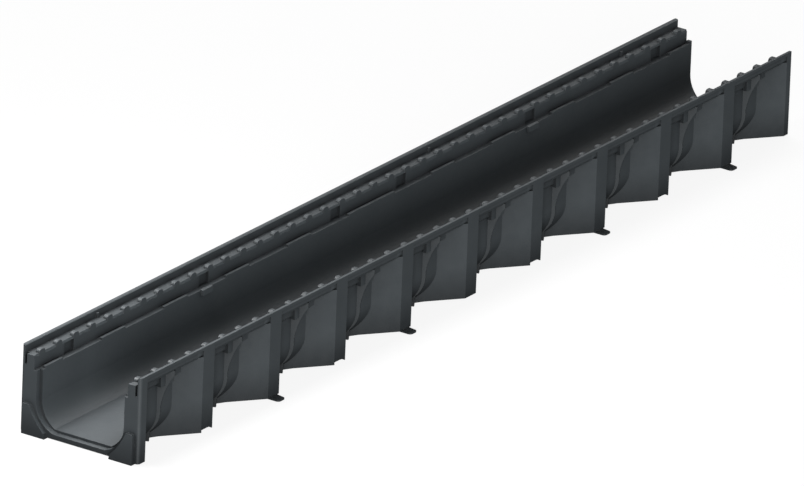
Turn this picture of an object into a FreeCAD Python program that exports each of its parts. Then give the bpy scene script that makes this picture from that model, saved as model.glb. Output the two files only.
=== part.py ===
import FreeCAD, Part
import math
import os
import PartDesign
import Sketcher

"""Polymer line-drainage channel, one injection moulded piece.

The half on the +Y side is modelled feature by feature and mirrored about the XZ plane.
X runs along the channel, Y across it, Z up; the origin is under the middle of the channel.
"""

os.makedirs("parts", exist_ok=True)
doc = FreeCAD.newDocument("channel_drain")

# Driving dimensions, mm
DIMENSIONS = {
    "body_length": 1000.0,
    "spigot": 4.0,
    "side_half": 62.5,
    "rim_z": 80.0,
    "bay_pitch": 100.0,
    "bay_count": 10.0,
    "post_lead": 6.5,
    "post_width": 16.5,
    "sheet": 2.5,
    "wedge_angle": 30.0,
    "wedge_root_half": 38.0,
    "foot_z": 3.4,
    "heel_z": 0.8,
    "heel_rise": 20.0,
    "bore_half": 43.6,
    "bore_radius": 28.0,
    "spring_z": 31.6,
    "invert_z": 7.5,
    "wall": 4.4,
    "curb": 2.5,
    "seat_z": 59.5,
    "curb_z": 61.4,
    "collar_z": 63.3,
    "collar_back": 4.0,
    "rail_half": 49.3,
    "ledge_z": 72.5,
    "ledge_gauge": 2.5,
    "bevel": 0.8,
    "bevel_drop": 2.1,
    "lip_half": 59.3,
    "skirt_inset": 0.9,
    "cap_z": 77.2,
    "skirt_z": 73.3,
    "window_length": 9.5,
    "window_depth": 2.2,
    "tooth_pitch": 25.0,
    "tooth_lead": 7.5,
    "tooth_length": 8.5,
    "tooth_depth": 4.0,
    "tooth_z": 75.4,
    "plate": 3.0,
    "socket_depth": 6.0,
    "socket_gap": 2.7,
    "socket_floor_z": 5.2,
    "mouth_half_floor": 27.0,
    "mouth_spring_z": 31.0,
    "collar_length": 3.0,
    "rib_slant": 23.5,
    "rib_start": 26.4,
    "rib_gauge": 2.2,
    "notch_lead": 34.6,
    "notch_pitch": 93.1,
    "notch_length": 58.0,
    "keeper_length": 14.5,
    "keeper_depth": 2.6,
    "lug_reach": 11.0,
    "lug_length": 10.5,
    "lug_lead": 0.7,
    "lug_gauge": 1.2,
    "lug_z": 0.3,
    "gusset_half": 58.0,
    "gusset_z": 28.2,
    "corner_round": 3.0,
    "tooth_shoulder": 3.0,
    "backing_lead": 42.0,
    "backing_length": 19.0,
    "lip_rib_width": 3.0,
    "lip_rib_height": 5.3,
    "catch_lead": 240.0,
    "catch_length": 15.0,
    "lug_round": 3.0,
}

sheet = doc.addObject("Spreadsheet::Sheet", "Dims")
for row, (alias, value) in enumerate(DIMENSIONS.items(), start=1):
    sheet.set(f"A{row}", alias)
    sheet.set(f"B{row}", str(value))
    sheet.setAlias(f"B{row}", alias)
doc.recompute()


class Size:
    """A length that carries its value together with its spreadsheet formula."""

    def __init__(self, value, formula):
        self.value = value
        self.formula = formula

    @staticmethod
    def of(other):
        if isinstance(other, Size):
            return other
        return Size(float(other), f"({float(other)})")

    def __add__(self, other):
        other = Size.of(other)
        return Size(self.value + other.value, f"({self.formula} + {other.formula})")

    def __radd__(self, other):
        return Size.of(other) + self

    def __sub__(self, other):
        other = Size.of(other)
        return Size(self.value - other.value, f"({self.formula} - {other.formula})")

    def __rsub__(self, other):
        return Size.of(other) - self

    def __mul__(self, other):
        other = Size.of(other)
        return Size(self.value * other.value, f"({self.formula} * {other.formula})")

    __rmul__ = __mul__

    def __truediv__(self, other):
        other = Size.of(other)
        return Size(self.value / other.value, f"({self.formula} / {other.formula})")

    def __neg__(self):
        return Size(-self.value, f"(0 - {self.formula})")

    def root(self):
        return Size(math.sqrt(self.value), f"sqrt({self.formula})")


def dim(alias):
    """The spreadsheet cell of that alias as a Size."""
    return Size(float(sheet.get(alias)), f"Dims.{alias}")


def new_body(name):
    """A PartDesign body and its origin planes and axes by role."""
    body = doc.addObject("PartDesign::Body", name)
    body.AllowCompound = True
    return body


def origin(body, role):
    """Origin plane or axis of the body."""
    return [o for o in body.Origin.OriginFeatures if o.Role == role][0]


def sketch(body, name, plane, station, *outlines):
    """Closed outlines on an origin plane moved by `station` along the plane normal.

    Each node is (u, v) for a straight edge to the next node, or (u, v, radius, turn) for
    an arc to the next node; turn +1 bulges to the right of the travel, -1 to the left.
    """
    profile = body.newObject("Sketcher::SketchObject", name)
    profile.AttachmentSupport = [(origin(body, plane), "")]
    profile.MapMode = "FlatFace"
    profile.AttachmentOffset = FreeCAD.Placement()
    profile.setExpression("AttachmentOffset.Base.z", Size.of(station).formula)
    for nodes in outlines:
        add_outline(profile, nodes)
    return profile


def add_outline(profile, nodes):
    """One closed outline: edges first, then joints, coordinates and radii."""
    first = profile.GeometryCount
    count = len(nodes)
    sizes = [(Size.of(node[0]), Size.of(node[1])) for node in nodes]
    corners = [FreeCAD.Vector(u.value, v.value, 0) for u, v in sizes]
    for index, node in enumerate(nodes):
        start, end = corners[index], corners[(index + 1) % count]
        if len(node) == 2:
            profile.addGeometry(Part.LineSegment(start, end), False)
        else:
            profile.addGeometry(arc_between(start, end, Size.of(node[2]).value, node[3]), False)
    for index, node in enumerate(nodes):
        following = (index + 1) % count
        corner = corners[following]
        tail = vertex_at(profile, first + index, corner)
        tip = vertex_at(profile, first + following, corner)
        profile.addConstraint(
            Sketcher.Constraint("Coincident", first + index, tail, first + following, tip)
        )
        pin(profile, "DistanceX", first + following, tip, sizes[following][0])
        pin(profile, "DistanceY", first + following, tip, sizes[following][1])
        if len(node) == 4:
            size = Size.of(node[2])
            number = profile.addConstraint(
                Sketcher.Constraint("Radius", first + index, size.value)
            )
            profile.setExpression(f"Constraints[{number}]", size.formula)


def arc_between(start, end, radius, turn):
    """The shorter arc of that radius between two points."""
    chord = end.sub(start)
    sagitta = radius - math.sqrt(radius ** 2 - (chord.Length / 2) ** 2)
    normal = FreeCAD.Vector(chord.y, -chord.x, 0).normalize() * turn
    middle = start.add(chord * 0.5).add(normal * sagitta)
    return Part.Arc(start, middle, end)


def vertex_at(profile, index, corner):
    """1 or 2: which end of the edge with that index lies on the corner."""
    return 1 if profile.getPoint(index, 1).sub(corner).Length < 1e-6 else 2


def pin(profile, kind, index, vertex, size):
    """Hold one coordinate of a vertex at a signed distance from the sketch origin."""
    number = profile.addConstraint(
        Sketcher.Constraint(kind, -1, 1, index, vertex, size.value)
    )
    profile.setExpression(f"Constraints[{number}]", size.formula)


def box_outline(u_low, v_low, u_high, v_high):
    """Rectangle as an outline."""
    return [(u_low, v_low), (u_high, v_low), (u_high, v_high), (u_low, v_high)]


def pad(body, name, profile, length, backwards=False):
    """Material along the sketch normal, or against it."""
    feature = body.newObject("PartDesign::Pad", name)
    feature.Profile = profile
    feature.setExpression("Length", Size.of(length).formula)
    feature.Reversed = backwards
    feature.Refine = False
    return feature


def pocket(body, name, profile, length):
    """Removes material along the sketch normal."""
    feature = body.newObject("PartDesign::Pocket", name)
    feature.Profile = profile
    feature.setExpression("Length", Size.of(length).formula)
    feature.Reversed = True
    feature.Refine = False
    return feature


def repeat(body, name, features, pitch, count):
    """Copies features along +X."""
    pattern = body.newObject("PartDesign::LinearPattern", name)
    pattern.Originals = features
    pattern.Direction = (origin(body, "X_Axis"), [""])
    pattern.Mode = "Spacing"
    pattern.Offset = Size.of(pitch).value
    pattern.setExpression("Offset", Size.of(pitch).formula)
    pattern.Occurrences = int(round(Size.of(count).value))
    pattern.Refine = False
    body.Tip = pattern
    return pattern


def joined(name, members):
    """Fusion of several objects."""
    fusion = doc.addObject("Part::MultiFuse", name)
    fusion.Shapes = members
    fusion.Refine = False
    return fusion


def without(name, base, tool):
    """Base minus tool."""
    cut = doc.addObject("Part::Cut", name)
    cut.Base = base
    cut.Tool = tool
    cut.Refine = False
    return cut


# Stations along X
near = -(dim("body_length") - dim("spigot")) / 2
far = near + dim("body_length")
middle = (near + far) / 2
pitch = dim("bay_pitch")

# Levels and half widths used by several features
wall = dim("wall")
gauge = dim("sheet")
bore_half = dim("bore_half")
radius = dim("bore_radius")
spring = dim("spring_z")
invert = dim("invert_z")
side = dim("side_half")
rail_half = dim("rail_half")
rail_back = rail_half + gauge
ledge_z = dim("ledge_z")
ledge_under = ledge_z - dim("ledge_gauge")
seat_z = dim("seat_z")
shelf_under = seat_z - gauge
lip_half = dim("lip_half")
skirt = side - dim("skirt_inset")
foot_z = dim("foot_z")
axis_half = bore_half - radius
drop = spring - invert
crease = axis_half + (radius * radius - drop * drop).root()
outer_radius = radius + wall
outer_drop = spring - foot_z
outer_foot = axis_half + (outer_radius * outer_radius - outer_drop * outer_drop).root()
above = dim("rim_z") + 1

# 1. Running section: trough, seat, rail wall, ledge and lip
running = new_body("running")
section = sketch(running, "RunningSection", "YZ_Plane", near, [
    (0, foot_z),
    (outer_foot, foot_z, outer_radius, 1),
    (bore_half + wall, spring),
    (bore_half + wall, shelf_under),
    (rail_back, seat_z + 1),
    (rail_back, ledge_under),
    (lip_half, ledge_under),
    (skirt, dim("skirt_z")),
    (skirt, dim("cap_z")),
    (side, dim("cap_z")),
    (side, dim("rim_z")),
    (lip_half + dim("bevel"), dim("rim_z")),
    (lip_half, dim("rim_z") - dim("bevel")),
    (lip_half, ledge_z),
    (rail_half + dim("bevel"), ledge_z),
    (rail_half, ledge_z - dim("bevel_drop")),
    (rail_half, seat_z),
    (bore_half, seat_z),
    (bore_half, spring, radius, -1),
    (crease, invert),
    (0, invert),
])
pad(running, "RunningPad", section, dim("body_length"))

# 2. Zigzag side: slanted sheets, post faces and the return webs behind them
slope = Size(math.tan(math.radians(dim("wedge_angle").value)), "tan(Dims.wedge_angle * 1deg)")
sine = Size(math.sin(math.radians(dim("wedge_angle").value)), "sin(Dims.wedge_angle * 1deg)")
half_slope = Size(math.tan(math.radians(dim("wedge_angle").value / 2)),
                  "tan(Dims.wedge_angle * 0.5deg)")
edge = near + pitch - dim("post_lead")
post_end = edge + dim("post_width")
root_half = dim("wedge_root_half")
run = (side - root_half) / slope
web_half = bore_half - radius / 2
heel_z = dim("heel_z")
side_height = ledge_under + gauge / 2 - heel_z


def post_outline(start, end):
    """Post face with the return web behind its far edge."""
    return [
        (start, side - gauge),
        (start, side),
        (end, side),
        (end, web_half),
        (end - gauge, web_half),
        (end - gauge, side - gauge),
    ]


wedges = new_body("wedges")
wedge = sketch(wedges, "WedgeOutline", "XY_Plane", heel_z, [
    (edge - run, root_half),
    (edge, side),
    (edge + gauge * half_slope, side - gauge),
    (edge - run + gauge / sine, root_half),
])
wedge_pad = pad(wedges, "WedgePad", wedge, side_height)
rise = dim("heel_rise") / slope
under = sketch(wedges, "WedgeUnderside", "XZ_Plane", -side - 1, [
    (edge - run - 1, heel_z - 1),
    (edge, heel_z - 1),
    (edge, heel_z),
    (edge - rise, foot_z),
    (edge - run - 1, foot_z),
])
under_cut = pocket(wedges, "WedgeUndersideCut", under, side)
repeat(wedges, "Wedges", [wedge_pad, under_cut], pitch, dim("bay_count"))

posts = new_body("posts")
post = sketch(posts, "PostOutline", "XY_Plane", heel_z, post_outline(edge, post_end))
post_pad = pad(posts, "PostPad", post, side_height)
repeat(posts, "Posts", [post_pad], pitch, dim("bay_count") - 1)

end_posts = new_body("end_posts")
corner_width = dim("post_width") - dim("post_lead")
end_post = sketch(end_posts, "EndPostOutlines", "XY_Plane", heel_z,
                  post_outline(near, near + corner_width),
                  post_outline(far - dim("post_lead"), far))
pad(end_posts, "EndPostPad", end_post, side_height)

heads = new_body("post_heads")
head = sketch(heads, "PostHeads", "XY_Plane", ledge_under, *[
    box_outline(start, lip_half, end, side)
    for start, end in [(near, near + corner_width), (far - dim("post_lead"), far)]
    + [(edge + pitch * index, post_end + pitch * index) for index in range(9)]
])
pad(heads, "PostHeadPad", head, dim("cap_z") - ledge_under)

# 3. Curved bracing rib in every bay, turned so that its outer end leans to the far end
ribs = new_body("ribs")
turn = FreeCAD.Rotation(FreeCAD.Vector(0, 1, 0), -dim("rib_slant").value)
stretch = 1 / math.cos(math.radians(dim("rib_slant").value))
rib_inner = bore_half + wall / 2
rib_top = ledge_under + gauge / 2
rib = sketch(ribs, "RibOutline", "YZ_Plane", near + dim("rib_start"), [
    (rib_inner * stretch, shelf_under),
    (rib_inner * stretch, spring),
    (37.0 * stretch, 11.0),
    (37.0 * stretch, foot_z),
    (42.0 * stretch, foot_z),
    (42.5 * stretch, 13.0, 26.6, 1),
    (50.3 * stretch, 36.0, 66.0, -1),
    ((skirt - 0.6) * stretch, 67.0),
    ((skirt - 0.6) * stretch, rib_top),
    ((rail_back - 1) * stretch, rib_top),
])
rib.AttachmentOffset = FreeCAD.Placement(rib.AttachmentOffset.Base, turn)
rib_pad = pad(ribs, "RibPad", rib, dim("rib_gauge"))
rib_pad.SideType = "Symmetric"
repeat(ribs, "Ribs", [rib_pad], pitch, dim("bay_count"))

# 4. Near end: plate, socket ring behind it, corner gussets in front of it
mouth_half = bore_half + dim("socket_gap")
plate_half = rail_half - 0.4
near_end = new_body("near_end")
plate = sketch(near_end, "PlateOutline", "YZ_Plane", near, [
    (0, heel_z),
    (side - 1, heel_z),
    (side, heel_z + 1),
    (side, ledge_z - 1),
    (lip_half, ledge_z),
    (plate_half, ledge_z),
    (plate_half, 63.6),
    (mouth_half, 61.0),
    (bore_half - 4, 61.0),
    (bore_half - 4, spring),
    (30.0, invert),
    (0, invert),
])
pad(near_end, "PlatePad", plate, dim("plate"))
ring_half = mouth_half + gauge
mouth_floor = dim("mouth_half_floor")
mouth_reach = mouth_half - mouth_floor
mouth_drop = dim("mouth_spring_z") - dim("socket_floor_z")
mouth_radius = (mouth_reach * mouth_reach + mouth_drop * mouth_drop) / (2 * mouth_reach)
ring = sketch(near_end, "SocketRing", "YZ_Plane", near, [
    (0, dim("socket_floor_z") - gauge),
    (mouth_floor, dim("socket_floor_z") - gauge, mouth_radius + gauge, 1),
    (ring_half, dim("mouth_spring_z")),
    (ring_half, 61.0),
    (bore_half, 61.0),
    (bore_half, spring, radius, -1),
    (crease, invert),
    (0, invert),
])
pad(near_end, "SocketRingPad", ring, dim("socket_depth") + dim("collar_length"))
gusset = sketch(near_end, "Gusset", "YZ_Plane", near - dim("spigot"), [
    (33.8, 0),
    (dim("gusset_half"), 0),
    (dim("gusset_half"), dim("gusset_z")),
    (50.7, dim("gusset_z") - 0.4, 62.0, -1),
    (34.7, 4.9),
])
pad(near_end, "GussetPad", gusset, dim("spigot") + dim("plate"))

# 5. Hollow of the water way and of the grating rail, clear from end to end
hollow = new_body("hollow")
hollow_section = sketch(hollow, "HollowSection", "YZ_Plane", near - 1, [
    (-1, invert),
    (crease, invert, radius, 1),
    (bore_half, spring),
    (bore_half, seat_z),
    (rail_half, seat_z),
    (rail_half, above),
    (-1, above),
])
pad(hollow, "HollowPad", hollow_section, dim("body_length") + 2)

# 6. Curb on the seat, notched where a grating rests, and a raised collar at the far end
curbs = new_body("curbs")
curb_start = dim("socket_depth") + dim("collar_length")
curb_back = bore_half + dim("curb")
curb = sketch(curbs, "Curb", "YZ_Plane", near + curb_start,
              box_outline(bore_half, seat_z - 1, curb_back, dim("curb_z")))
pad(curbs, "CurbPad", curb, dim("body_length") - curb_start)
notch_length = dim("notch_length")
near_notch = near + dim("notch_lead")
far_notch = far - dim("notch_lead") - notch_length - 4 * dim("notch_pitch")
notch = sketch(curbs, "Notches", "XY_Plane", seat_z, *[
    box_outline(start, bore_half - 1, start + notch_length, curb_back + 1)
    for start in [near_notch + dim("notch_pitch") * index for index in range(5)]
    + [far_notch + dim("notch_pitch") * index for index in range(5)]
])
pocket(curbs, "NotchCut", notch, dim("curb_z") - seat_z + 1)

collars = new_body("collars")
collar = sketch(collars, "FarCollar", "YZ_Plane", far - dim("collar_length"),
                box_outline(bore_half, seat_z - 1, bore_half + dim("collar_back"),
                            dim("collar_z")))
pad(collars, "FarCollarPad", collar, dim("collar_length"))

# 7. Toothed rail: half-round heads standing on the inner edge of the ledge
teeth = new_body("teeth")
tooth_start = near + dim("tooth_lead")
tooth_end = tooth_start + dim("tooth_length")
shoulder = dim("tooth_shoulder")
tooth_z = dim("tooth_z")
tooth = sketch(teeth, "Tooth", "XZ_Plane", -rail_half, [
    (tooth_start, ledge_z - dim("bevel_drop")),
    (tooth_end, ledge_z - dim("bevel_drop")),
    (tooth_end, tooth_z - shoulder, shoulder, 1),
    (tooth_end - shoulder, tooth_z),
    (tooth_start + shoulder, tooth_z, shoulder, 1),
    (tooth_start, tooth_z - shoulder),
])
tooth_pad = pad(teeth, "ToothPad", tooth, dim("tooth_depth"), True)
repeat(teeth, "Teeth", [tooth_pad], dim("tooth_pitch"),
       dim("body_length") / dim("tooth_pitch"))

# Short stiffening ribs on the inner face of the lip
lip_ribs = new_body("lip_ribs")
lip_rib_back = lip_half + dim("lip_rib_width") / 4
lip_rib = sketch(lip_ribs, "LipRibs", "XY_Plane", ledge_z - dim("bevel"), *[
    box_outline(start, lip_half - 2, start + dim("lip_rib_width"), lip_rib_back)
    for start in [near + offset for offset in (104.5, 606.0, 907.0)]
])
pad(lip_ribs, "LipRibPad", lip_rib, dim("lip_rib_height"))

# 8. Keeper pockets in the rail wall, with their backing outside, and the locking catches
keeper_ends = [near + offset for offset in (58.5, 259.5, 459.0, 559.7, 759.5, 957.5)]
keeper_length = dim("keeper_length")
keeper_depth = dim("keeper_depth")
backings = new_body("keeper_backings")
backing_starts = [near + dim("backing_lead") + pitch * bay for bay in range(10)]
backing = sketch(backings, "KeeperBackings", "XY_Plane", shelf_under, *[
    box_outline(start, rail_half + 1, start + dim("backing_length"), rail_back + keeper_depth)
    for start in backing_starts
])
pad(backings, "KeeperBackingPad", backing, ledge_under + 1 - shelf_under)
keepers = new_body("keeper_pockets")
keeper = sketch(keepers, "KeeperPockets", "XY_Plane", seat_z, *[
    box_outline(end - keeper_length, rail_half - 1, end, rail_half + keeper_depth)
    for end in keeper_ends
])
pad(keepers, "KeeperPocketPad", keeper, ledge_under + 0.4 - seat_z)

catches = new_body("catches")
catch = sketch(catches, "Catch", "YZ_Plane", near + dim("catch_lead"), [
    (bore_half + 0.5, seat_z + 1),
    (bore_half - 2.4, seat_z + 0.6),
    (bore_half - 3.2, seat_z - 4.2),
    (bore_half + 0.5, seat_z - 6),
])
catch_pad = pad(catches, "CatchPad", catch, dim("catch_length"))
repeat(catches, "Catches", [catch_pad], dim("body_length") / 2, 2)

# 9. Anchor lugs at the feet of four posts
lug_length = dim("lug_length")
tip = side + dim("lug_reach")
lug_round = dim("lug_round")


def lug_outline(start):
    """Tongue with rounded tips reaching out from the foot of a post."""
    end = start + lug_length
    return [
        (start, side - 4),
        (end + 3, side - 4),
        (end + 1, side + 3),
        (end, tip - lug_round, lug_round, 1),
        (end - lug_round, tip),
        (start + lug_round, tip, lug_round, 1),
        (start, tip - lug_round),
    ]


lug_starts = [edge + dim("lug_lead") + pitch * (bay - 1) for bay in (2, 4, 7, 9)]
lugs = new_body("lugs")
lug = sketch(lugs, "Lugs", "XY_Plane", dim("lug_z"), *[lug_outline(start) for start in lug_starts])
pad(lugs, "LugPad", lug, dim("lug_gauge"))

# Arched undersides of the post faces that carry no lug
arches = new_body("post_arches")
arch = sketch(arches, "PostArches", "XZ_Plane", -side - 1, *[
    [
        (start + 0.4, heel_z - 1),
        (start + dim("post_width") - 0.8, heel_z - 1),
        (start + dim("post_width") - 0.8, heel_z),
        (start + 11.0, foot_z - 0.2),
        (start + 0.4, foot_z - 0.2),
    ]
    for start in [edge + pitch * (bay - 1) for bay in (1, 3, 6, 8)]
])
pad(arches, "PostArchPad", arch, gauge + 1.5)

# 10. Mouth of the socket, blind slots and rounded corner of the near end
mouth_body = new_body("mouth")
mouth = sketch(mouth_body, "Mouth", "YZ_Plane", near - dim("spigot") - 1, [
    (-1, dim("socket_floor_z")),
    (mouth_floor, dim("socket_floor_z"), mouth_radius, 1),
    (mouth_half, dim("mouth_spring_z")),
    (mouth_half, 61.0),
    (plate_half, 63.6),
    (plate_half, above),
    (-1, above),
])
pad(mouth_body, "MouthPad", mouth, dim("spigot") + 1 + dim("socket_depth"))
slots = new_body("end_slots")
slot = sketch(slots, "EndSlot", "YZ_Plane", near - 1, box_outline(56.8, 62.8, 59.1, above))
pad(slots, "EndSlotPad", slot, dim("spigot") + 1)
corner_body = new_body("corner_round")
corner = sketch(corner_body, "CornerRound", "XY_Plane", -1, [
    (near, side - dim("corner_round"), dim("corner_round"), -1),
    (near + dim("corner_round"), side),
    (near + dim("corner_round"), side + 1),
    (near - 1, side + 1),
    (near - 1, side - dim("corner_round")),
])
pad(corner_body, "CornerRoundPad", corner, above + 1)

windows = new_body("skirt_windows")
window_start = edge - dim("window_length")
window = sketch(windows, "SkirtWindows", "XY_Plane", ledge_under - 0.1, *[
    [
        (window_start + pitch * bay, side - dim("window_depth")),
        (edge + pitch * bay, side),
        (edge + pitch * bay, side + 1),
        (window_start + pitch * bay, side + 1),
    ]
    for bay in range(10)
])
pad(windows, "SkirtWindowPad", window, dim("cap_z") - ledge_under + 0.1)

# 11. Half channel and its mirror image
shell = joined("Shell", [running, wedges, posts, end_posts, heads, ribs, near_end])
opened = without("OpenedShell", shell, hollow)
fitted = joined("FittedShell", [opened, curbs, collars, teeth, backings, catches, lugs,
                                lip_ribs])
voids = joined("Voids", [keepers, mouth_body, slots, corner_body, arches, windows])
half = without("HalfChannel", fitted, voids)
other = doc.addObject("Part::Mirroring", "OtherHalf")
other.Source = half
other.Normal = FreeCAD.Vector(0, 1, 0)
channel = joined("channel_body", [half, other])
channel.Label = "channel_body"
channel.Refine = True
doc.recompute()

failed = [o.Name for o in doc.Objects if {"Invalid", "Error"} & set(o.State)]
if failed:
    raise RuntimeError(f"features in error: {failed}")
if channel.Shape.isNull() or not channel.Shape.isValid() or len(channel.Shape.Solids) != 1:
    raise RuntimeError("the channel is not one valid solid")
channel.Shape.exportStep(f"parts/{channel.Label}.step")
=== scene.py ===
import logging
import math
from dataclasses import dataclass, field
from typing import List, Mapping, Optional, Sequence, Tuple, Union

import bpy
from mathutils import Matrix, Vector


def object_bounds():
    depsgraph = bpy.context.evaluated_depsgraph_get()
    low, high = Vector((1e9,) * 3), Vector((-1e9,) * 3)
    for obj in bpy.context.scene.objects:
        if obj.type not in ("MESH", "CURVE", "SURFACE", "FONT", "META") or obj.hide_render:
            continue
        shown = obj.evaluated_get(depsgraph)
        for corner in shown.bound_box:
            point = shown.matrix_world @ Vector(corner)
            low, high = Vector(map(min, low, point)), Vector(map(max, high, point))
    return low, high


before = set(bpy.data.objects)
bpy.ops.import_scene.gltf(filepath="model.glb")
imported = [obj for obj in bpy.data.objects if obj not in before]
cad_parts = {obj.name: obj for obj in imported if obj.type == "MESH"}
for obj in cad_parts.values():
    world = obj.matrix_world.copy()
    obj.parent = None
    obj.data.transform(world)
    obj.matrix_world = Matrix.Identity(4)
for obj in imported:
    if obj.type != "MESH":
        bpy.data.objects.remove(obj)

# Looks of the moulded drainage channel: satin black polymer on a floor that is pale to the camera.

LOG = logging.getLogger("channel_drain")
MM = 0.001

# Sockets of a Mix node that mixes colours, which share their names with its other modes.
MIX_FACTOR, MIX_A, MIX_B = 0, 6, 7
MIX_RESULT = 2

Vec3 = Tuple[float, float, float]
Rgba = Tuple[float, float, float, float]
SocketKey = Union[str, int]


def linear(hex_colour: str) -> Rgba:
    """Turn an sRGB hex colour into linear RGBA by the standard sRGB curve.

    Args:
        hex_colour: Six hex digits, such as "1f2123".

    Returns:
        Linear red, green and blue, and an alpha of 1.
    """
    values = [int(hex_colour[i:i + 2], 16) / 255 for i in (0, 2, 4)]
    rgb = [v / 12.92 if v <= 0.04045 else ((v + 0.055) / 1.055) ** 2.4 for v in values]
    return rgb[0], rgb[1], rgb[2], 1.0


def direction(azimuth: float, elevation: float) -> Vector:
    """Give the unit vector of a direction.

    Args:
        azimuth: Degrees from +X towards +Y.
        elevation: Degrees above the horizon.

    Returns:
        The cosines and sines of both angles as a vector of length 1.
    """
    across, up = math.radians(azimuth), math.radians(elevation)
    return Vector((math.cos(across) * math.cos(up), math.sin(across) * math.cos(up),
                   math.sin(up)))


def add_node(tree: bpy.types.NodeTree, kind: str, place: Tuple[float, float],
             settings: Optional[Mapping[str, object]] = None,
             values: Optional[Mapping[SocketKey, object]] = None,
             links: Optional[Mapping[SocketKey, bpy.types.NodeSocket]] = None
             ) -> bpy.types.Node:
    """Add one shader node with its settings, socket values and incoming links.

    Args:
        tree: Node tree that receives the node.
        kind: Node type identifier.
        place: Position in the editor.
        settings: Attributes of the node.
        values: Default values by input socket name or number.
        links: Output sockets joined to inputs by name or number.

    Returns:
        The new node.
    """
    node = tree.nodes.new(kind)
    node.location = place
    for name, value in (settings or {}).items():
        setattr(node, name, value)
    for key, value in (values or {}).items():
        node.inputs[key].default_value = value
    for key, socket in (links or {}).items():
        tree.links.new(socket, node.inputs[key])
    return node


@dataclass(frozen=True)
class PolymerFinish:
    """Satin black polypropylene, injection moulded.

    The etched mould leaves a fine grain, so highlights are broad and soft, and slow flow marks
    change the tint and the gloss a little. The colour is also darkened where walls stand close.
    That stands in for shadow and is no property of the polymer.

    Args:
        name: Material name.
        base: sRGB hex of the clean surface.
        dusty: sRGB hex of the slightly greyer patches.
        painted_shade: sRGB hex of the painted shade where nearby walls close a recess in
            completely.
        painted_shade_reach_mm: Reach over which nearby walls darken the colour with painted shade.
        painted_shade_power: How fast the painted shade deepens as walls close in.
        roughness: Mean roughness of the moulded skin.
        roughness_spread: How far scuffs change the roughness.
        ior: Index of refraction of the polymer.
        grain_mm: Size of the fine mould texture.
        grain_depth: Height of the fine texture in mm.
        grain_strength: Share of that height that the bump uses.
        flow_mm: Size of the slow flow marks.
        scuff_mm: Size of the scuffs.
        edge_mm: Radius of the softened mould edges.
    """

    name: str = "polymer_satin_black"
    base: str = "373c3f"
    dusty: str = "3f4447"
    painted_shade: str = "101214"
    painted_shade_reach_mm: float = 35.0
    painted_shade_power: float = 1.6
    roughness: float = 0.50
    roughness_spread: float = 0.12
    ior: float = 1.49
    grain_mm: float = 0.45
    grain_depth: float = 0.012
    grain_strength: float = 0.35
    flow_mm: float = 38.0
    scuff_mm: float = 9.5
    edge_mm: float = 0.35

    def build(self) -> bpy.types.Material:
        """Make the node material.

        Returns:
            The material, with object-space patterns only.
        """
        material = bpy.data.materials.new(self.name)
        material.use_nodes = True
        tree = material.node_tree
        tree.nodes.clear()
        coords = add_node(tree, "ShaderNodeTexCoord", (-1400, 0))
        place = coords.outputs["Object"]
        flow = add_node(tree, "ShaderNodeTexNoise", (-1100, 250),
                        values={"Scale": 1 / (self.flow_mm * MM), "Detail": 4.0,
                                "Roughness": 0.55},
                        links={"Vector": place})
        grain = add_node(tree, "ShaderNodeTexNoise", (-1100, -150),
                         values={"Scale": 1 / (self.grain_mm * MM), "Detail": 2.0},
                         links={"Vector": place})
        scuff = add_node(tree, "ShaderNodeTexNoise", (-1100, -550),
                         values={"Scale": 1 / (self.scuff_mm * MM), "Detail": 6.0,
                                 "Roughness": 0.7},
                         links={"Vector": place})
        tint = add_node(tree, "ShaderNodeMix", (-700, 350), {"data_type": "RGBA"},
                        {MIX_A: linear(self.base), MIX_B: linear(self.dusty)},
                        {MIX_FACTOR: flow.outputs["Fac"]})
        # Painted shade: ambient occlusion darkens the colour towards near-black where nearby walls
        # close a recess in, standing in for shadow.
        open_sky = add_node(tree, "ShaderNodeAmbientOcclusion", (-950, 600), {"samples": 8},
                            {"Distance": self.painted_shade_reach_mm * MM})
        openness = add_node(tree, "ShaderNodeMath", (-750, 600), {"operation": "POWER"},
                            {1: self.painted_shade_power}, {0: open_sky.outputs["AO"]})
        skin_with_painted_shade = add_node(tree, "ShaderNodeMix", (-500, 450), {"data_type": "RGBA"},
                        {MIX_A: linear(self.painted_shade)},
                        {MIX_FACTOR: openness.outputs[0], MIX_B: tint.outputs[MIX_RESULT]})
        gloss = add_node(tree, "ShaderNodeMapRange", (-700, 50),
                         values={"From Min": 0.3, "From Max": 0.7,
                                 "To Min": self.roughness - self.roughness_spread / 2,
                                 "To Max": self.roughness + self.roughness_spread / 2},
                         links={"Value": scuff.outputs["Fac"]})
        edge = add_node(tree, "ShaderNodeBevel", (-950, -350), {"samples": 4},
                        {"Radius": self.edge_mm * MM})
        bump = add_node(tree, "ShaderNodeBump", (-700, -250),
                        values={"Strength": self.grain_strength,
                                "Distance": self.grain_depth * MM},
                        links={"Height": grain.outputs["Fac"],
                               "Normal": edge.outputs["Normal"]})
        shader = add_node(tree, "ShaderNodeBsdfPrincipled", (-300, 100),
                          values={"IOR": self.ior},
                          links={"Base Color": skin_with_painted_shade.outputs[MIX_RESULT],
                                 "Roughness": gloss.outputs[0],
                                 "Normal": bump.outputs["Normal"]})
        add_node(tree, "ShaderNodeOutputMaterial", (50, 100),
                 links={"Surface": shader.outputs[0]})
        return material


@dataclass
class ChannelBody:
    """The one-piece moulded channel that comes from the frame.

    Args:
        node: Frame node of the moulding.
        finish: Surface finish of the polymer.
    """

    node: str = "channel_body"
    finish: PolymerFinish = field(default_factory=PolymerFinish)

    def build(self) -> List[bpy.types.Object]:
        """Give the moulding its finish.

        Returns:
            The pieces of this assembly.
        """
        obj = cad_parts[self.node]
        material = self.finish.build()
        if not obj.material_slots:
            obj.data.materials.append(material)
        for slot in obj.material_slots:
            slot.material = material
        return [obj]


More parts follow.
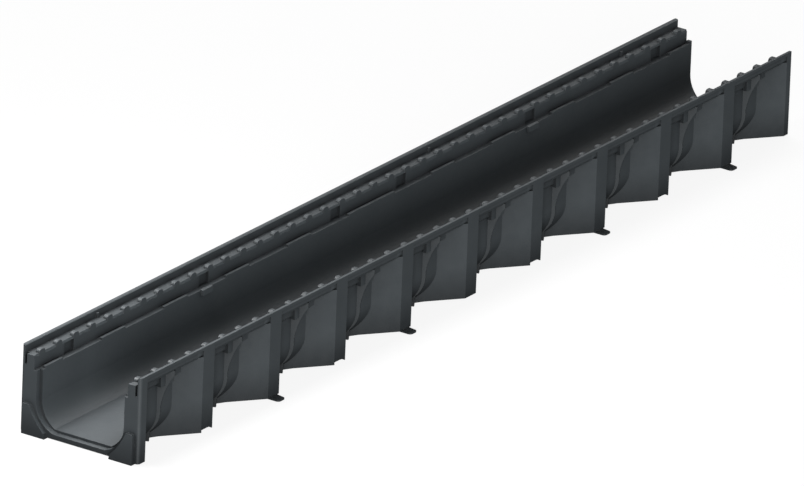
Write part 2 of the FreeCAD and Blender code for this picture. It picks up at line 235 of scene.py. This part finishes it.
@dataclass(frozen=True)
class SoftLamp:
    """Square soft studio lamp that faces a point of the channel.

    Args:
        name: Lamp name.
        azimuth: Direction it stands in, degrees from +X towards +Y.
        elevation: Height above the horizon in degrees.
        power: Power in watts.
        distance: Distance from that point in metres.
        side: Side of the lit square in metres.
        aim: Point it faces, in metres.
    """

    name: str
    azimuth: float
    elevation: float
    power: float
    distance: float = 7.0
    side: float = 3.6
    aim: Vec3 = (0.0, 0.0, 0.04)

    def build(self) -> bpy.types.Object:
        """Create the lamp.

        Returns:
            The light object.
        """
        data = bpy.data.lights.new(self.name, "AREA")
        data.shape = "SQUARE"
        data.size = self.side
        data.energy = self.power
        lamp = bpy.data.objects.new(self.name, data)
        offset = direction(self.azimuth, self.elevation) * self.distance
        lamp.location = Vector(self.aim) + offset
        lamp.rotation_euler = (-offset).to_track_quat("-Z", "Y").to_euler()
        bpy.context.scene.collection.objects.link(lamp)
        return lamp


@dataclass(frozen=True)
class ViewingCamera:
    """Long-lens camera that looks at the channel from its socket end.

    Args:
        name: Camera name.
        azimuth: Direction it stands in, degrees from +X towards +Y.
        elevation: Height above the horizon in degrees.
        roll: Degrees that it is turned about its own axis, its right side up.
        distance: Distance from the aim in metres.
        aim: Point in the middle of its view, in metres.
        lens: Focal length in mm.
        sensor: Width of the sensor in mm.
        nearest: Least distance that it sees, in metres.
        farthest: Greatest distance that it sees, in metres.
    """

    name: str = "viewing_camera"
    azimuth: float = 213.853
    elevation: float = 21.8521
    roll: float = 2.2701
    distance: float = 19.5072
    aim: Vec3 = (0.0, 0.0091, 0.03304)
    lens: float = 1000.0
    sensor: float = 36.0
    nearest: float = 0.5
    farthest: float = 120.0

    def build(self) -> bpy.types.Object:
        """Create the camera and make it the scene's camera.

        Its axes are the direction back to it, the level direction across that, and the
        direction square to both, rolled about the first.

        Returns:
            The camera object.
        """
        data = bpy.data.cameras.new(self.name)
        data.sensor_width = self.sensor
        data.lens = self.lens
        data.clip_start = self.nearest
        data.clip_end = self.farthest
        camera = bpy.data.objects.new(self.name, data)
        back = direction(self.azimuth, self.elevation)
        level = Vector((0.0, 0.0, 1.0)).cross(back).normalized()
        turn = Matrix((level, back.cross(level), back)).transposed()
        turn = turn @ Matrix.Rotation(math.radians(self.roll), 3, "Z")
        place = Vector(self.aim) + back * self.distance
        camera.matrix_world = Matrix.Translation(place) @ turn.to_4x4()
        bpy.context.scene.collection.objects.link(camera)
        bpy.context.scene.camera = camera
        return camera


@dataclass
class Studio:
    """Floor, surroundings and soft lamps, set for the viewing camera.

    The floor is white to the camera and dark grey to every other ray, and the surroundings are
    white to camera and transmission rays and faint to the rest, so reflections see them dark.

    Args:
        floor_z: Height of the floor in metres.
        floor_half: Half the floor's side in metres.
        floor_colour: sRGB hex of the floor's paint to the camera.
        bounce_colour: sRGB hex of the floor's paint to every other ray.
        camera_glow: Share of the floor that is its own white glow to the camera. The rest is
            paint and carries the shadow.
        world_colour: sRGB hex of the surroundings as they light the object.
        world_strength: Strength of the surroundings on the object.
        lamps: Soft lamps. The last is a small one, close above the socket end.
    """

    floor_z: float
    floor_half: float = 12.0
    floor_colour: str = "f4f4f4"
    bounce_colour: str = "464646"
    camera_glow: float = 0.88
    world_colour: str = "ffffff"
    world_strength: float = 0.08
    lamps: Sequence[SoftLamp] = (
        SoftLamp("front_lamp", azimuth=218.0, elevation=12.0, power=1500.0, distance=12.0,
                 side=4.5),
        SoftLamp("side_lamp", azimuth=250.0, elevation=10.0, power=230.0, distance=12.0,
                 side=4.0),
        SoftLamp("end_lamp", azimuth=0.0, elevation=22.0, power=130.0),
        SoftLamp("overhead_lamp", azimuth=45.0, elevation=60.0, power=260.0),
        SoftLamp("near_lamp", azimuth=90.0, elevation=78.0, power=7.0, distance=0.6, side=0.3,
                 aim=(-0.52, 0.0, 0.04)),
    )

    def build(self) -> List[bpy.types.Object]:
        """Create the floor, the world and the lamps.

        Returns:
            The floor objects, which are not part of the channel.
        """
        self.build_world()
        for lamp in self.lamps:
            lamp.build()
        return [self.build_floor()]

    def build_world(self) -> None:
        """Surroundings at full white to camera and transmission rays and faint to the rest."""
        world = bpy.data.worlds.new("studio_world")
        bpy.context.scene.world = world
        world.use_nodes = True
        tree = world.node_tree
        tree.nodes.clear()
        path = add_node(tree, "ShaderNodeLightPath", (-700, 200))
        seen = add_node(tree, "ShaderNodeMath", (-450, 200), {"operation": "MAXIMUM"},
                        links={0: path.outputs["Is Camera Ray"],
                               1: path.outputs["Is Transmission Ray"]})
        plain = add_node(tree, "ShaderNodeBackground", (-200, 50),
                         values={"Color": linear(self.world_colour),
                                 "Strength": self.world_strength})
        white = add_node(tree, "ShaderNodeBackground", (-200, -100),
                         values={"Color": linear("ffffff"), "Strength": 1.0})
        mix = add_node(tree, "ShaderNodeMixShader", (50, 50),
                       links={0: seen.outputs[0], 1: plain.outputs[0], 2: white.outputs[0]})
        add_node(tree, "ShaderNodeOutputWorld", (250, 50), links={"Surface": mix.outputs[0]})

    def build_floor(self) -> bpy.types.Object:
        """Floor whose glow carries the background and whose paint keeps the shadow.

        Returns:
            The floor object.
        """
        half = self.floor_half
        mesh = bpy.data.meshes.new("studio_floor")
        corners = [(-half, -half, self.floor_z), (half, -half, self.floor_z),
                   (half, half, self.floor_z), (-half, half, self.floor_z)]
        mesh.from_pydata(corners, [], [(0, 1, 2, 3)])
        floor = bpy.data.objects.new("studio_floor", mesh)
        bpy.context.scene.collection.objects.link(floor)
        material = bpy.data.materials.new("studio_floor_paint")
        material.use_nodes = True
        tree = material.node_tree
        tree.nodes.clear()
        path = add_node(tree, "ShaderNodeLightPath", (-700, 200))
        tone = add_node(tree, "ShaderNodeMix", (-700, 0), {"data_type": "RGBA"},
                        {MIX_A: linear(self.bounce_colour), MIX_B: linear(self.floor_colour)},
                        {MIX_FACTOR: path.outputs["Is Camera Ray"]})
        paint = add_node(tree, "ShaderNodeBsdfDiffuse", (-450, 0),
                         links={"Color": tone.outputs[MIX_RESULT]})
        glow = add_node(tree, "ShaderNodeEmission", (-450, -150),
                        values={"Color": linear("ffffff"), "Strength": 1.0})
        share = add_node(tree, "ShaderNodeMath", (-450, 200), {"operation": "MULTIPLY"},
                         {1: self.camera_glow}, {0: path.outputs["Is Camera Ray"]})
        mix = add_node(tree, "ShaderNodeMixShader", (-200, 0),
                       links={0: share.outputs[0], 1: paint.outputs[0], 2: glow.outputs[0]})
        add_node(tree, "ShaderNodeOutputMaterial", (50, 0), links={"Surface": mix.outputs[0]})
        mesh.materials.append(material)
        return floor


def main() -> None:
    """Build the looks of the channel, the studio and the camera."""
    logging.basicConfig(level=logging.INFO, format="%(name)s %(message)s")
    cad_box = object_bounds()
    bpy.context.scene.view_settings.view_transform = "Standard"
    for piece in ChannelBody().build():
        LOG.info("piece %s", piece.name)
    for stage in Studio(floor_z=cad_box[0][2]).build():
        LOG.info("stage %s", stage.name)
    ViewingCamera().build()


if __name__ == "__main__":
    main()
